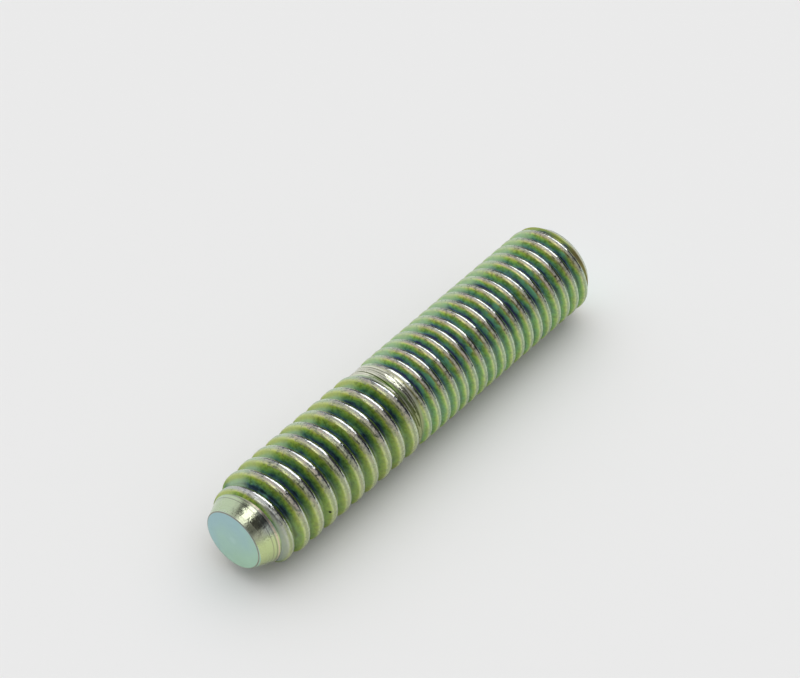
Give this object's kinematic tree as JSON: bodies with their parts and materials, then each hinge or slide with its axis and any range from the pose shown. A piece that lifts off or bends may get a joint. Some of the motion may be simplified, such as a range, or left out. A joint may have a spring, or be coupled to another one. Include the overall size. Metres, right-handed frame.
{
  "type": "threaded stud",
  "caption": "Double-ended threaded stud: a coarse thread with a conical point at one end, a fine thread with a chamfer at the other, and a short land between.",
  "frame": {"origin": "centre of the fine-thread end's face, which the stud stands on", "axes": "+Z along the stud's axis, from the fine-thread end to the pointed coarse-thread end; the threads wind right-handed about it"},
  "size_m": [0.0064, 0.0064, 0.0312],
  "materials": {
    "zinc_plated_steel": "bright zinc plate with an iridescent green, yellow and blue passivation"
  },
  "bodies": {
    "root": {"stud": "zinc_plated_steel"}
  },
  "joints": []
}
